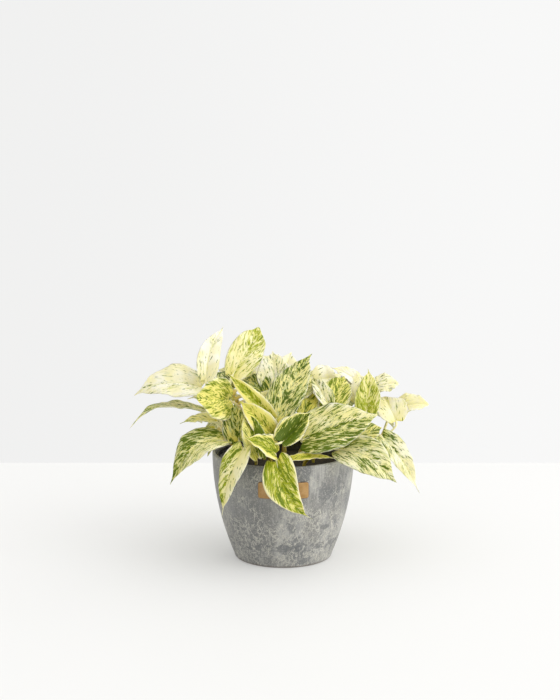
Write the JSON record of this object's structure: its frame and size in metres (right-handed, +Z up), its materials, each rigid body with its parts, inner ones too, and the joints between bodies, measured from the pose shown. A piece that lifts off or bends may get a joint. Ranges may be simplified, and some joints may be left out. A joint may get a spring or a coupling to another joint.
{
  "type": "potted marble queen pothos",
  "caption": "Trailing house plant with marbled cream and green heart-shaped leaves, in its grower's pot inside a tapered grey planter with a bare tan label.",
  "frame": {"origin": "middle of the planter's flat underside", "axes": "+Z up, -Y towards the front, where the label is, +X to the right as seen from the front"},
  "size_m": [0.3703, 0.2741, 0.2902],
  "materials": {
    "grey_glaze": "satin grey with streaks and pale mottling",
    "black_plastic": "glossy",
    "dark_soil": "crumbly, moist",
    "tan_leather": "matte",
    "marbled_leaf": "soft satin, cream marbled with green"
  },
  "bodies": {
    "root": {"planter": "grey_glaze", "growers_pot": "black_plastic", "soil": "dark_soil", "label": "tan_leather", "stem_front": "marbled_leaf", "stem_left": "marbled_leaf", "stem_upper_left": "marbled_leaf", "stem_centre": "marbled_leaf", "stem_right": "marbled_leaf", "stem_far_right": "marbled_leaf", "stem_mid_right": "marbled_leaf", "stem_back_left": "marbled_leaf", "stem_back": "marbled_leaf", "stem_back_right": "marbled_leaf"}
  },
  "joints": []
}
